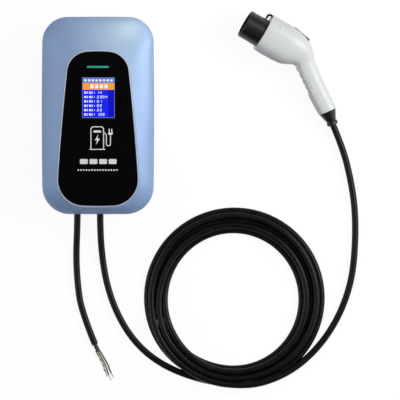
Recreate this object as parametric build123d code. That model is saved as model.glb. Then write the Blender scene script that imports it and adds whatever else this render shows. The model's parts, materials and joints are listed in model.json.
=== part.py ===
from build123d import *
import math
import os
from dataclasses import astuple, dataclass

os.makedirs("parts", exist_ok=True)

# The part lies on its back: X to the right, Y to the top of the case, Z out of the front panel.
# The origin is the middle of the case on the plane that the wall touches.

# Case outline, seen from the front
case_width = 202.5
case_height = 355.5
case_top_corner = 46.0
case_bottom_corner = 50.0
case_side_crown = 1.8
case_end_crown = 1.0

# Front cover
seam_z = 36.0
shoulder_z = 56.0
cover_face_z = 86.0
cover_wall = 3.0
cover_rim_width = 1.2
cover_flange_width = 18.0
shoulder_pull_share = 0.45
cover_section_shares = (0.0, 0.2, 0.4, 0.6, 0.8, 1.0)

# Front panel and its bright trim
panel_top_margin = 62.55
panel_bottom_margin = 14.85
panel_top_side_margin = 49.25
panel_bottom_side_margin = 26.75
panel_top_crown = 6.0
panel_bottom_crown = 5.4
panel_side_crown = 2.0
panel_top_corner = 38.0
panel_bottom_corner = 47.0
panel_recess_depth = 3.0
panel_proud = 0.2
trim_width = 1.7
trim_proud = 0.8
trim_chamfer = 0.35
panel_fit_gap = 0.1

# Screen and its board
screen_width = 61.0
screen_height = 75.6
screen_drop = 84.6
screen_set_back = 0.3
screen_gap = 0.15
module_width = 70.0
module_height = 88.0
module_depth = 4.0
display_board_width = 84.0
display_board_height = 102.0
board_thickness = 1.6
display_post_radius = 3.2
display_post_inset = 4.0
small_screw_radius = 1.2
small_screw_head_radius = 2.3
small_screw_head_height = 1.4
screw_gap = 0.1
small_screw_depth = 3.4
screw_tip_gap = 0.4

# Rear housing
housing_inset = 9.0
housing_wall = 3.0
rim_width = 8.0
rim_height = 3.0
gasket_inset = 3.0
gasket_width = 2.0
gasket_depth = 1.3

# Columns that the cover screws run through
column_side_inset = 27.25
column_end_inset = 27.75
middle_column_side_inset = 19.25
middle_column_y_share = 0.028129
column_radius = 6.0
cover_column_radius = 5.2
cover_screw_radius = 2.0
cover_screw_head_radius = 3.6
cover_screw_head_height = 2.6
cover_screw_bite = 20.0
cover_screw_drive_radius = 1.6
cover_screw_drive_depth = 1.3
counterbore_depth = 5.0
counterbore_gap = 0.5

# Recess in the back, with the wall bracket in it
recess_side_margin = 31.25
recess_top_margin = 49.75
recess_bottom_margin = 71.75
recess_depth = 8.0
recess_corner = 6.0
bracket_side_gap = 6.0
bracket_end_gap = 7.0
bracket_thickness = 2.0
bracket_corner = 5.0
bracket_hole_radius = 2.75
bracket_hole_side_inset = 14.0
bracket_hole_end_inset = 20.0
bracket_window_width_share = 0.46875
bracket_window_height_share = 0.2
bracket_window_pitch_share = 0.290909
bracket_window_corner = 6.0

# Hooks on the bracket and the bars that hang on them
hook_side_inset = 24.0
hook_foot_share = 0.25
hook_width = 24.0
hook_reach = 5.4
hook_lip = 9.0
bar_gap = 0.3
bar_cheek = 3.5
bar_side_gap = 0.6

# Bay for the cable glands, open downwards and to the back
bay_side_margin = 39.25
bay_wall_inset = 43.75
bay_roof = 3.0
gland_z = 17.0

# Cable glands
input_gland_share = -0.1822222
output_gland_share = 0.0133333
cable_radius = 5.8
gland_flats = 24.0
gland_hex_length = 5.0
gland_thread_radius = 9.8
gland_thread_length = 12.0
gland_neck_radius = 9.4
gland_neck_length = 8.0
gland_bore_gap = 0.5
gland_hole_gap = 0.2
locknut_length = 4.5
cap_length = 21.0
cap_radius = 12.0
cap_wall_gap = 0.1
cap_foot_gap = 0.3
cap_round = 4.0
cap_flute_count = 12
cap_flute_radius = 1.4
seal_length = 6.0
seal_fit_gap = 0.05
sheath_inner_length = 13.0

# Main board and what it carries
board_side_margin = 39.25
board_bottom_gap = 44.0
board_top_margin = 69.75
board_post_height = 8.0
board_post_radius = 4.0
board_screw_radius = 1.4
board_screw_head_radius = 2.8
board_screw_head_height = 1.8
board_screw_depth = 5.0
board_screw_inset = 5.0
terminal_count = 8
terminal_pitch = 9.0
terminal_end_wall = 3.0
terminal_depth = 22.0
terminal_height = 24.0
terminal_entry_height = 8.0
terminal_entry_radius = 2.3
terminal_entry_depth = 9.0
terminal_front_inset = 1.0
terminal_screw_radius = 2.0
terminal_screw_height = 5.0
terminal_screw_recess = 1.5
terminal_slot_width = 0.7
terminal_slot_depth = 0.8
relay_size = (30.0, 36.0, 26.0)
relay_place_share = (0.354839, 0.177143)
relay_edge_round = 1.5
supply_size = (34.0, 58.0, 24.0)
supply_place_share = (0.612903, 0.64)
supply_edge_round = 2.0
sensor_outer_radius = 15.0
sensor_inner_radius = 8.0
sensor_thickness = 13.0
sensor_place_share = (-0.612903, 0.451429)
sensor_base_height = 3.0
capacitor_radius = 6.5
capacitor_height = 20.0
capacitor_round = 1.0
capacitor_pitch = 17.0
capacitor_first_share = (-0.83871, 0.782857)
capacitor_count = 3
fuse_size = (24.0, 9.0, 9.0)
fuse_place_share = (-0.580645, 0.64)
fuse_tube_radius = 2.6
fuse_end_wall = 3.0
fuse_channel_gap = 0.6
header_size = (24.0, 7.0, 6.0)
display_header_drop = 38.6
board_header_share = 0.485714
ribbon_width = 20.0
ribbon_thickness = 0.8
ribbon_drop = 12.0
ribbon_bend = 7.0
wire_radius = 1.5
signal_wire_radius = 0.8
wire_pitch = 3.4
wire_lift = 3.9
wire_lead_out = 8.0
wire_run_in = 6.0
wire_bend = 4.0

# Route of the charging cable: straight from the gland, round to the coil, and on to the gun
cord_straight = 45.0
lead_route = (
    (5.5, -255.0, 5.9),
    (11.0, -308.0, 5.9),
    (28.0, -360.0, 5.9),
    (60.0, -408.0, 5.9),
    (104.0, -447.0, 5.9),
    (159.0, -473.0, 5.9),
    (215.0, -484.5, 5.9),
)
coil_middle_x = 245.7
coil_middle_y = -327.6
coil_outer_radius = 160.0
coil_inner_radius = 117.0
coil_height = 23.4
coil_edge_round = 5.8
tail_route = (
    (312.7, -471.2, 16.5),
    (356.0, -451.0, 9.5),
    (402.0, -412.0, 5.9),
    (436.0, -360.0, 5.9),
    (456.0, -300.0, 5.9),
    (462.8, -235.0, 5.9),
    (463.0, -168.0, 5.9),
    (454.0, -112.0, 7.0),
)
tail_last_run = 47.0

# Route of the supply lead and its stripped end
input_route = (
    (-39.5, -254.0, 5.9),
    (-40.0, -306.0, 5.9),
    (-29.0, -363.0, 5.9),
    (-5.5, -412.5, 5.9),
)
sleeve_radius = 3.9
sleeve_length = 14.0
core_radius = 1.5
core_tip_radius = 0.9
core_tip_length = 9.0
core_start_pitch = 3.3
core_routes = {
    "core_earth": ((6.6, -444.0, 3.6), (13.5, -461.5, 1.6)),
    "core_neutral": ((10.4, -443.6, 3.6), (19.6, -468.0, 1.6)),
    "core_live": ((13.4, -441.0, 3.6), (23.6, -463.5, 1.6)),
}

# Charging gun: where its mouth is and how it lies
gun_mouth_x = 264.2
gun_mouth_y = 166.0
gun_turn = -30.0
gun_dip = 6.4

# Gun body sections: distance behind the mouth, height, downward tilt, half height, half width
head_sections = (
    (37.0, 3.2, 0.0, 34.8, 30.5),
    (58.0, 2.4, 0.0, 35.4, 31.0),
    (80.0, 2.7, 2.0, 35.2, 30.5),
    (102.0, 2.6, 9.0, 31.5, 28.0),
    (118.0, 0.5, 20.0, 24.0, 23.0),
)
knuckle_section = (132.0, -9.5, 30.0, 18.2, 18.5)
handle_sections = (
    (152.6, -25.1, 34.0, 17.6, 17.2),
    (181.2, -44.7, 34.5, 17.6, 17.0),
)
end_section = (209.0, -62.5, 37.0, 16.6, 16.2)
section_power_share = 2.6
section_point_count = 12
gun_wall = 2.8
gun_front_wall = 3.2

# Gun nose and contacts
nose_radius = 25.8
nose_rear_radius = 26.3
nose_step_a = 24.0
nose_wall = 3.2
nose_lip_round = 1.4
nose_flange_radius = 27.2
nose_flange_thickness = 3.6
nose_fit_gap = 0.15
carrier_face_a = 15.0
carrier_rear_a = 54.0
power_contact_radius = 3.0
signal_contact_radius = 1.7
contact_wall = 0.8
contact_set_back = 2.0
contact_length = 34.0
contact_collar = 1.6
contact_collar_height = 1.2
power_contact_places = ((0.0, -1.0), (-11.5, 1.5), (11.5, 1.5), (-7.5, -13.0), (7.5, -13.0))
signal_contact_places = ((-6.5, 12.0), (6.5, 12.0))

# Latch lever, its pin, button, spring and switch
pivot_a = 58.0
pivot_b = 27.0
pivot_pin_radius = 2.0
pivot_pin_gap = 0.05
pivot_hub_radius = 5.6
lever_half_width = 4.5
hub_half_width = 6.0
hub_side_gap = 0.4
boss_radius = 5.0
lever_top = (
    (30.0, 37.0),
    (33.0, 38.2),
    (41.0, 37.0),
    (48.0, 33.6),
    (58.0, 31.5),
    (82.0, 27.5),
    (114.0, 25.5),
)
lever_bottom = (
    (114.0, 20.5),
    (66.0, 22.0),
    (52.0, 24.0),
    (46.5, 31.0),
    (41.0, 33.4),
    (33.5, 34.4),
    (31.0, 32.6),
)
hook_tip = ((30.6, 26.6), (27.6, 26.6), (27.4, 33.6))
lever_bend = 1.0
button_front_a = 82.8
button_rear_a = 115.8
button_front_b = 39.7
button_rear_b = 33.8
button_half_width = 9.0
button_round = 2.0
slot_front_gap = 0.7
slot_rear_gap = 2.0
slot_side_gap = 0.5
slot_depth = 22.0
hook_slot_rear_a = 50.6
hook_slot_floor_b = 31.0
hook_slot_side_gap = 0.9
shelf_front_a = 79.0
shelf_rear_a = 112.0
shelf_thickness = 2.0
shelf_top_b = 1.0
switch_size = (14.0, 10.0, 8.0)
switch_middle_a = 101.0
switch_button_height = 2.4
switch_button_radius = 1.3
spring_a = 87.0
spring_cup_radius = 5.5
spring_cup_height = 7.0
spring_radius = 3.2
spring_wire_radius = 0.55
spring_turns = 6
spring_top_b = 20.8

# Screws, clamp and cable inside the gun
gun_screw_places = ((67.0, -20.0), (122.0, 6.5), (171.5, -29.5))
gun_screw_column_radius = 3.6
gun_screw_radius = 1.4
gun_screw_head_radius = 2.6
gun_screw_head_height = 2.0
gun_screw_half_length = 9.0
gun_screw_head_c = 9.0
gun_wire_radius = 1.4
gun_wire_pitch = 4.0
gun_wire_bend = 9.0
gun_wire_route = ((58.0, -6.0), (96.0, -8.0), (124.0, -12.0), (150.0, -30.0))
clamp_thickness = 8.0
clamp_front = 20.0
clamp_gap = 0.3
gun_cable_inner_length = 26.0

# Boot at the handle's end
boot_plug_depth = 6.0
boot_plug_gap = 0.3
boot_cone_length = 19.5
boot_neck_radius = 8.6
boot_bead_radius = 10.2
boot_bead_length = 7.5

# Finger scallops under the handle
scallop_count = 4
scallop_first = (130.5, -29.4)
scallop_pitch = 12.0
scallop_radius = 9.5
scallop_depth = 1.3
scallop_tilt = 34.0

# One overrun serves every cut
over = 1.0


# Places that follow from the case's size

half_case_width = case_width / 2
half_case_height = case_height / 2
panel_top = half_case_height - panel_top_margin
panel_bottom = panel_bottom_margin - half_case_height
panel_top_width = case_width - 2 * panel_top_side_margin
panel_bottom_width = case_width - 2 * panel_bottom_side_margin
screen_middle_y = panel_top - screen_drop
display_header_y = screen_middle_y - display_header_drop
column_x = half_case_width - column_side_inset
column_y = half_case_height - column_end_inset
middle_column_x = half_case_width - middle_column_side_inset
middle_column_y = case_height * middle_column_y_share
column_places = ((column_x, column_y), (middle_column_x, middle_column_y), (column_x, -column_y))
recess_half_width = half_case_width - recess_side_margin
recess_top = half_case_height - recess_top_margin
recess_bottom = recess_bottom_margin - half_case_height
bracket_half_width = recess_half_width - bracket_side_gap
bracket_top = recess_top - bracket_end_gap
bracket_bottom = recess_bottom + bracket_end_gap
bracket_height = bracket_top - bracket_bottom
bracket_middle_y = (bracket_top + bracket_bottom) / 2
bracket_hole_x = bracket_half_width - bracket_hole_side_inset
bracket_hole_rise = bracket_height / 2 - bracket_hole_end_inset
bracket_window_width = 2 * bracket_half_width * bracket_window_width_share
bracket_window_height = bracket_height * bracket_window_height_share
bracket_window_pitch = bracket_height * bracket_window_pitch_share
hook_middle_x = bracket_half_width - hook_side_inset
hook_foot_y = bracket_middle_y + bracket_height * hook_foot_share
bay_half_width = half_case_width - bay_side_margin
bay_wall_y = bay_wall_inset - half_case_height
input_gland_x = case_width * input_gland_share
output_gland_x = case_width * output_gland_share
board_half_width = half_case_width - board_side_margin
board_bottom = bay_wall_y + board_bottom_gap
board_top = half_case_height - board_top_margin
terminal_front_y = board_bottom + terminal_front_inset
terminal_rear_y = terminal_front_y + terminal_depth


def on_board(shares):
    """A place on the main board, from shares of its half width and of its run past the terminals."""
    x_share, y_share = shares
    return (board_half_width * x_share, terminal_rear_y + (board_top - terminal_rear_y) * y_share)


relay_x, relay_y = on_board(relay_place_share)
relay_places = ((-relay_x, relay_y), (relay_x, relay_y))
supply_place = on_board(supply_place_share)
sensor_place = on_board(sensor_place_share)
capacitor_first = on_board(capacitor_first_share)
fuse_place = on_board(fuse_place_share)
board_header_place = on_board((0, board_header_share))
board_header_y = board_header_place[1]


# Helpers

def block(x0, x1, y0, y1, z0, z1):
    """A block between two corners."""
    middle = Pos((x0 + x1) / 2, (y0 + y1) / 2, (z0 + z1) / 2)
    return middle * Box(x1 - x0, y1 - y0, z1 - z0)


def disc(x, y, z0, z1, radius):
    """A cylinder that stands along Z between two heights."""
    return Pos(x, y, (z0 + z1) / 2) * Cylinder(radius, z1 - z0)


def rod_y(x, z, y0, y1, radius):
    """A cylinder along Y between two places."""
    return Pos(x, (y0 + y1) / 2, z) * Rot(90, 0, 0) * Cylinder(radius, abs(y1 - y0))


def rod_x(y, z, x0, x1, radius):
    """A cylinder along X between two places."""
    return Pos((x0 + x1) / 2, y, z) * Rot(0, 90, 0) * Cylinder(radius, abs(x1 - x0))


def sized_block(size, place, floor):
    """A block of a given size that stands on a floor height."""
    x, y = place
    width, length, height = size
    return block(x - width / 2, x + width / 2, y - length / 2, y + length / 2, floor, floor + height)


def rounded_prism(half_width, low_y, high_y, z0, z1, corner):
    """A prism with round corners along Z."""
    outline = Pos(0, (low_y + high_y) / 2, z0) * RectangleRounded(2 * half_width, high_y - low_y, corner)
    return extrude(outline, z1 - z0)


def largest_arcs(points):
    """Arc radius at each inner point: 0.45 of the shorter run over the tangent of half the turn."""
    arc_share = 0.45
    places = [Vector(*point) for point in points]
    radii = []
    for before, corner, after in zip(places, places[1:], places[2:]):
        turn = math.radians((corner - before).get_angle(after - corner))
        shorter = min((corner - before).length, (after - corner).length)
        radii.append(arc_share * shorter / math.tan(turn / 2))
    return radii


def tube(points, radius, radii):
    """A round tube along straight runs that are joined by tangent arcs."""
    path = FilletPolyline(*points, radius=radii)
    start = Plane(origin=path @ 0, z_dir=path % 0)
    return sweep(start * Circle(radius), path=path)


def save(shape, name):
    """Write one piece under its own name."""
    export_step(shape, f"parts/{name}.step")
    return shape


@dataclass
class Outline:
    """Four bowed edges with round corners, the same on both sides of the Y axis."""

    top_width: float
    bottom_width: float
    top: float
    bottom: float
    top_crown: float
    bottom_crown: float
    side_crown: float
    top_corner: float
    bottom_corner: float

    def grown(self, amount):
        """The same form with every edge moved outwards."""
        return Outline(
            self.top_width + 2 * amount,
            self.bottom_width + 2 * amount,
            self.top + amount,
            self.bottom - amount,
            self.top_crown,
            self.bottom_crown,
            self.side_crown,
            self.top_corner + amount,
            self.bottom_corner + amount,
        )

    def blended(self, other, share):
        """A form part of the way towards another one."""
        return Outline(*[own + (far - own) * share for own, far in zip(astuple(self), astuple(other))])

    def face(self, z):
        """The flat face inside the outline at a height."""
        low_y = self.bottom + self.bottom_crown
        high_y = self.top - self.top_crown
        low_right = (self.bottom_width / 2, low_y)
        high_right = (self.top_width / 2, high_y)
        low_left = (-self.bottom_width / 2, low_y)
        high_left = (-self.top_width / 2, high_y)
        side_x = (self.bottom_width + self.top_width) / 4 + self.side_crown
        side_y = (low_y + high_y) / 2
        edges = [
            ThreePointArc(low_left, (0, self.bottom), low_right),
            ThreePointArc(low_right, (side_x, side_y), high_right),
            ThreePointArc(high_right, (0, self.top), high_left),
            ThreePointArc(high_left, (-side_x, side_y), low_left),
        ]
        flat = make_face(edges)
        flat = fillet(flat.vertices().sort_by(Axis.Y)[2:], self.top_corner)
        flat = fillet(flat.vertices().sort_by(Axis.Y)[:2], self.bottom_corner)
        return Pos(0, 0, z) * flat

    def prism(self, z0, z1):
        """The outline drawn up between two heights."""
        return extrude(self.face(z0), z1 - z0)


case_flat_width = case_width - 2 * case_side_crown
case = Outline(
    case_flat_width,
    case_flat_width,
    case_height / 2,
    -case_height / 2,
    case_end_crown,
    case_end_crown,
    case_side_crown,
    case_top_corner,
    case_bottom_corner,
)
panel = Outline(
    panel_top_width,
    panel_bottom_width,
    panel_top,
    panel_bottom,
    panel_top_crown,
    panel_bottom_crown,
    panel_side_crown,
    panel_top_corner,
    panel_bottom_corner,
)
trim_outline = panel.grown(panel_fit_gap + trim_width)
panel_seat = trim_outline.grown(panel_fit_gap)
cover_rim = panel_seat.grown(cover_rim_width)
recess_floor_z = cover_face_z - panel_recess_depth
ceiling_z = recess_floor_z - cover_wall
panel_face_z = cover_face_z + panel_proud


# Front cover

def cover_form(inset, top_z):
    """Upright walls up to the shoulder, then slopes that end level at the panel's rim."""
    foot = case.grown(-inset)
    rim = cover_rim.grown(-inset)
    sections = []
    for share in cover_section_shares:
        along = share * share
        up = 2 * share * (1 - share) * shoulder_pull_share + share * share
        sections.append(foot.blended(rim, along).face(shoulder_z + (top_z - shoulder_z) * up))
    return foot.prism(seam_z, shoulder_z) + loft(sections)


def both_sides(places):
    """Each place and its mirror image."""
    return [(side * x, y) for x, y in places for side in (-1, 1)]


def screen_window(gap, z0, z1):
    """The upright opening that the screen looks through."""
    half_height = screen_height / 2 + gap
    return block(
        -screen_width / 2 - gap,
        screen_width / 2 + gap,
        screen_middle_y - half_height,
        screen_middle_y + half_height,
        z0,
        z1,
    )


def display_posts():
    """The places of the four posts that hold the display board."""
    x = display_board_width / 2 - display_post_inset
    y = display_board_height / 2 - display_post_inset
    return [(side * x, screen_middle_y + end * y) for side in (-1, 1) for end in (-1, 1)]


display_board_top_z = ceiling_z - module_depth
outer_form = cover_form(0, cover_face_z)
cover = outer_form - cover_form(cover_wall, ceiling_z)
flange_hole = case.grown(-cover_flange_width).prism(seam_z - over, seam_z + 2 * cover_wall)
cover += case.prism(seam_z, seam_z + cover_wall) - flange_hole
for x, y in both_sides(column_places):
    cover += disc(x, y, seam_z, cover_face_z, cover_column_radius) & outer_form
for x, y in display_posts():
    cover += disc(x, y, display_board_top_z, recess_floor_z - over, display_post_radius)
screw_hole_top_z = seam_z + cover_screw_bite + screw_tip_gap
for x, y in both_sides(column_places):
    cover -= disc(x, y, seam_z - over, screw_hole_top_z, cover_screw_radius + screw_gap)
for x, y in display_posts():
    hole_top_z = display_board_top_z + small_screw_depth + screw_tip_gap
    cover -= disc(x, y, display_board_top_z - over, hole_top_z, small_screw_radius + screw_gap)
cover -= panel_seat.prism(recess_floor_z, cover_face_z + over)
cover -= screen_window(screen_gap, ceiling_z - over, recess_floor_z + over)
save(cover, "front_cover")


# Panel, trim and screen

trim = trim_outline.prism(recess_floor_z, cover_face_z + trim_proud)
trim -= panel.grown(panel_fit_gap).prism(recess_floor_z - over, cover_face_z + trim_proud + over)
trim_top_edges = trim.faces().sort_by(Axis.Z)[-1].edges()
save(chamfer(trim_top_edges, trim_chamfer), "panel_trim")

plate = panel.prism(recess_floor_z, panel_face_z)
plate -= screen_window(screen_gap, recess_floor_z - over, panel_face_z + over)
save(plate, "front_panel")

module = block(
    -module_width / 2,
    module_width / 2,
    screen_middle_y - module_height / 2,
    screen_middle_y + module_height / 2,
    display_board_top_z,
    ceiling_z,
)
module += screen_window(0, ceiling_z, panel_face_z - screen_set_back)
save(module, "display_screen")

display_board_z = display_board_top_z - board_thickness
display_board = block(
    -display_board_width / 2,
    display_board_width / 2,
    screen_middle_y - display_board_height / 2,
    screen_middle_y + display_board_height / 2,
    display_board_z,
    display_board_top_z,
)
display_screws = []
small_hole_radius = small_screw_radius + screw_gap
for x, y in display_posts():
    display_board -= disc(x, y, display_board_z - over, display_board_top_z + over, small_hole_radius)
    head = disc(x, y, display_board_z - small_screw_head_height, display_board_z, small_screw_head_radius)
    shank = disc(x, y, display_board_z, display_board_top_z + small_screw_depth, small_screw_radius)
    display_screws.append(head + shank)
save(display_board, "display_board")
save(Compound(children=display_screws), "display_board_screws")


# Rear housing

back_outline = case.grown(-housing_inset)
inside_outline = back_outline.grown(-housing_wall)
recess_roof_z = recess_depth + housing_wall
bay_inner_y = bay_wall_y + housing_wall
bay_roof_z = seam_z - bay_roof
hook_lip_z = hook_reach
bar_low_y = hook_foot_y + bracket_thickness + bar_gap
bar_high_y = hook_foot_y + hook_lip + bracket_thickness
bar_low_z = bracket_thickness + bar_gap
bar_high_z = hook_lip_z - bar_gap
board_floor_z = recess_roof_z + board_post_height
board_face_z = board_floor_z + board_thickness


def board_posts():
    """The places of the six posts under the main board."""
    x = board_half_width - board_screw_inset
    low_y = board_bottom + board_screw_inset
    high_y = board_top - board_screw_inset
    return [(side * x, y) for side in (-1, 1) for y in (low_y, (low_y + high_y) / 2, high_y)]


housing = back_outline.prism(0, seam_z) - inside_outline.prism(housing_wall, seam_z + over)
rim_ring = back_outline.prism(seam_z - rim_height, seam_z)
rim_ring -= back_outline.grown(-rim_width).prism(seam_z - 2 * rim_height, seam_z + over)
housing += rim_ring
housing += rounded_prism(
    recess_half_width + housing_wall,
    recess_bottom - housing_wall,
    recess_top + housing_wall,
    0,
    recess_roof_z,
    recess_corner,
)
bay_half_outer = bay_half_width + housing_wall
bay_block = block(-bay_half_outer, bay_half_outer, -half_case_height, bay_inner_y, 0, seam_z)
housing += bay_block & back_outline.prism(0, seam_z)
for x, y in both_sides(column_places):
    housing += disc(x, y, 0, seam_z, column_radius) & back_outline.prism(0, seam_z)
for x, y in board_posts():
    housing += disc(x, y, recess_roof_z - over, board_floor_z, board_post_radius)
housing -= rounded_prism(recess_half_width, recess_bottom, recess_top, -over, recess_depth, recess_corner)
housing -= block(-bay_half_width, bay_half_width, -half_case_height - over, bay_wall_y, -over, bay_roof_z)
for x in (input_gland_x, output_gland_x):
    housing -= rod_y(x, gland_z, bay_wall_y - over, bay_inner_y + over, gland_thread_radius + gland_hole_gap)
for x, y in both_sides(column_places):
    housing -= disc(x, y, -over, seam_z + over, cover_screw_radius + screw_gap)
    housing -= disc(x, y, -over, counterbore_depth, cover_screw_head_radius + counterbore_gap)
for x, y in board_posts():
    housing -= disc(x, y, recess_roof_z + over, board_floor_z + over, board_screw_radius + screw_gap)
for side in (-1, 1):
    middle_x = side * hook_middle_x
    half = hook_width / 2 + bar_side_gap
    left = middle_x - half
    right = middle_x + half
    bar = block(left - bar_cheek, right + bar_cheek, bar_low_y, bar_high_y, bar_low_z, recess_depth)
    bar -= block(left, right, bar_low_y - over, bar_high_y + over, bar_high_z, recess_depth + over)
    housing += bar
groove = back_outline.grown(-gasket_inset)
groove_core = groove.grown(-gasket_width).prism(0, seam_z + 2 * over)
gasket = groove.prism(seam_z - gasket_depth, seam_z) - groove_core
housing -= groove.prism(seam_z - gasket_depth, seam_z + over) - groove_core
save(housing, "rear_housing")
save(gasket, "housing_seal")

cover_screws = []
for x, y in both_sides(column_places):
    head = disc(x, y, counterbore_depth - cover_screw_head_height, counterbore_depth, cover_screw_head_radius)
    shank = disc(x, y, counterbore_depth, seam_z + cover_screw_bite, cover_screw_radius)
    drive = Pos(x, y, counterbore_depth - cover_screw_head_height) * extrude(
        RegularPolygon(cover_screw_drive_radius, 6), cover_screw_drive_depth
    )
    cover_screws.append(head + shank - drive)
save(Compound(children=cover_screws), "cover_screws")


# Wall bracket

bracket = rounded_prism(bracket_half_width, bracket_bottom, bracket_top, 0, bracket_thickness, bracket_corner)
for side in (-1, 1):
    window = Pos(0, bracket_middle_y + side * bracket_window_pitch / 2, -over) * RectangleRounded(
        bracket_window_width, bracket_window_height, bracket_window_corner
    )
    bracket -= extrude(window, bracket_thickness + 2 * over)
    for end in (-1, 1):
        hole_y = bracket_middle_y + end * bracket_hole_rise
        bracket -= disc(side * bracket_hole_x, hole_y, -over, bracket_thickness + over, bracket_hole_radius)
    hook_x = side * hook_middle_x
    left = hook_x - hook_width / 2
    right = hook_x + hook_width / 2
    foot_top_y = hook_foot_y + bracket_thickness
    lip_top_z = hook_lip_z + bracket_thickness
    bracket += block(left, right, hook_foot_y, foot_top_y, 0, lip_top_z)
    bracket += block(left, right, hook_foot_y, foot_top_y + hook_lip, hook_lip_z, lip_top_z)
save(bracket, "wall_bracket")


# Main board and what it carries

control_board = block(
    -board_half_width, board_half_width, board_bottom, board_top, board_floor_z, board_face_z
)
board_screws = []
for x, y in board_posts():
    control_board -= disc(x, y, board_floor_z - over, board_face_z + over, board_screw_radius + screw_gap)
    head = disc(x, y, board_face_z, board_face_z + board_screw_head_height, board_screw_head_radius)
    shank = disc(x, y, board_face_z - board_thickness - board_screw_depth, board_face_z, board_screw_radius)
    board_screws.append(head + shank)
save(control_board, "control_board")
save(Compound(children=board_screws), "control_board_screws")


def terminal_x(index):
    """The middle of one terminal, counted from the left."""
    return (index - (terminal_count - 1) / 2) * terminal_pitch


terminal_half_width = terminal_count * terminal_pitch / 2 + terminal_end_wall
terminal_top_z = board_face_z + terminal_height
entry_z = board_face_z + terminal_entry_height
terminal_block = block(
    -terminal_half_width,
    terminal_half_width,
    terminal_front_y,
    terminal_front_y + terminal_depth,
    board_face_z,
    terminal_top_z,
)
terminal_screws = []
entry_end_y = terminal_front_y + terminal_entry_depth
for index in range(terminal_count):
    x = terminal_x(index)
    screw_y = terminal_front_y + terminal_depth / 2
    terminal_block -= rod_y(x, entry_z, terminal_front_y - over, entry_end_y, terminal_entry_radius)
    well_floor_z = terminal_top_z - terminal_screw_height - terminal_screw_recess
    terminal_block -= disc(x, screw_y, well_floor_z, terminal_top_z + over, terminal_screw_radius + screw_gap)
    screw_top_z = well_floor_z + terminal_screw_height
    screw = disc(x, screw_y, well_floor_z, screw_top_z, terminal_screw_radius)
    screw -= block(
        x - terminal_screw_radius,
        x + terminal_screw_radius,
        screw_y - terminal_slot_width / 2,
        screw_y + terminal_slot_width / 2,
        screw_top_z - terminal_slot_depth,
        screw_top_z + over,
    )
    terminal_screws.append(screw)
save(terminal_block, "terminal_block")
save(Compound(children=terminal_screws), "terminal_screws")

relays = []
for place in relay_places:
    relay = sized_block(relay_size, place, board_face_z)
    relay_edges = relay.edges().filter_by(Axis.Z) + relay.faces().sort_by(Axis.Z)[-1].edges()
    relays.append(fillet(relay_edges, relay_edge_round))
save(Compound(children=relays), "relays")

supply = sized_block(supply_size, supply_place, board_face_z)
save(fillet(supply.edges().filter_by(Axis.Z), supply_edge_round), "power_supply")

sensor_x, sensor_y = sensor_place
sensor_z = board_face_z + sensor_outer_radius
sensor_half = sensor_thickness / 2
sensor_foot = (2 * sensor_outer_radius, sensor_thickness, sensor_base_height)
sensor = rod_y(sensor_x, sensor_z, sensor_y - sensor_half, sensor_y + sensor_half, sensor_outer_radius)
sensor += sized_block(sensor_foot, sensor_place, board_face_z)
sensor -= rod_y(
    sensor_x, sensor_z, sensor_y - sensor_half - over, sensor_y + sensor_half + over, sensor_inner_radius
)
save(sensor, "current_sensor")

capacitors = []
for index in range(capacitor_count):
    x = capacitor_first[0] + index * capacitor_pitch
    can = disc(x, capacitor_first[1], board_face_z, board_face_z + capacitor_height, capacitor_radius)
    capacitors.append(fillet(can.edges().sort_by(Axis.Z)[-1], capacitor_round))
save(Compound(children=capacitors), "capacitors")

fuse_x, fuse_y = fuse_place
fuse_half_width = fuse_size[0] / 2
fuse_top_z = board_face_z + fuse_size[2]
fuse_left = fuse_x - fuse_half_width + fuse_end_wall
fuse_right = fuse_x + fuse_half_width - fuse_end_wall
channel_half = fuse_tube_radius + fuse_channel_gap
fuse = sized_block(fuse_size, fuse_place, board_face_z)
fuse -= block(
    fuse_left,
    fuse_right,
    fuse_y - channel_half,
    fuse_y + channel_half,
    fuse_top_z - channel_half,
    fuse_top_z + over,
)
fuse += rod_x(fuse_y, fuse_top_z, fuse_left - over, fuse_right + over, fuse_tube_radius)
save(fuse, "fuse_holder")

header_height = header_size[2]
board_header = sized_block(header_size, board_header_place, board_face_z)
display_header = sized_block(header_size, (0, display_header_y), display_board_z - header_height)
save(Compound(children=[board_header, display_header]), "board_headers")

ribbon_top_z = display_board_z - header_height
ribbon_foot_z = board_face_z + header_height
ribbon_path = FilletPolyline(
    (0, display_header_y, ribbon_top_z),
    (0, display_header_y, ribbon_top_z - ribbon_drop),
    (0, board_header_y, ribbon_foot_z + ribbon_drop),
    (0, board_header_y, ribbon_foot_z),
    radius=ribbon_bend,
)
ribbon_start = Plane(origin=ribbon_path @ 0, x_dir=(1, 0, 0), z_dir=ribbon_path % 0)
save(sweep(ribbon_start * Rectangle(ribbon_width, ribbon_thickness), path=ribbon_path), "ribbon_cable")


# Cable glands

hex_rear_y = bay_wall_y - gland_hex_length
neck_end_y = hex_rear_y - gland_neck_length
cap_foot_y = hex_rear_y - cap_foot_gap
cap_mouth_y = cap_foot_y - cap_length + cap_foot_gap
seal_end_y = neck_end_y - seal_length
thread_end_y = bay_wall_y + gland_thread_length
sheath_end_y = bay_inner_y + sheath_inner_length
gland_bore_radius = cable_radius + gland_bore_gap


def hexagon_y(x, y0, y1):
    """A hexagon bar along Y, with a flat towards the wall side."""
    plane = Plane(origin=(x, y0, gland_z), z_dir=(0, 1, 0), x_dir=(1, 0, 0))
    return extrude(plane * RegularPolygon(gland_flats / 2, 6, major_radius=False), y1 - y0)


def gland_body(x):
    """Threaded barrel through the wall, hexagon outside, and the neck that the cap goes on."""
    body = hexagon_y(x, hex_rear_y, bay_wall_y)
    body += rod_y(x, gland_z, bay_wall_y, thread_end_y, gland_thread_radius)
    body += rod_y(x, gland_z, neck_end_y, hex_rear_y, gland_neck_radius)
    return body - rod_y(x, gland_z, neck_end_y - over, thread_end_y + over, gland_bore_radius)


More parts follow.
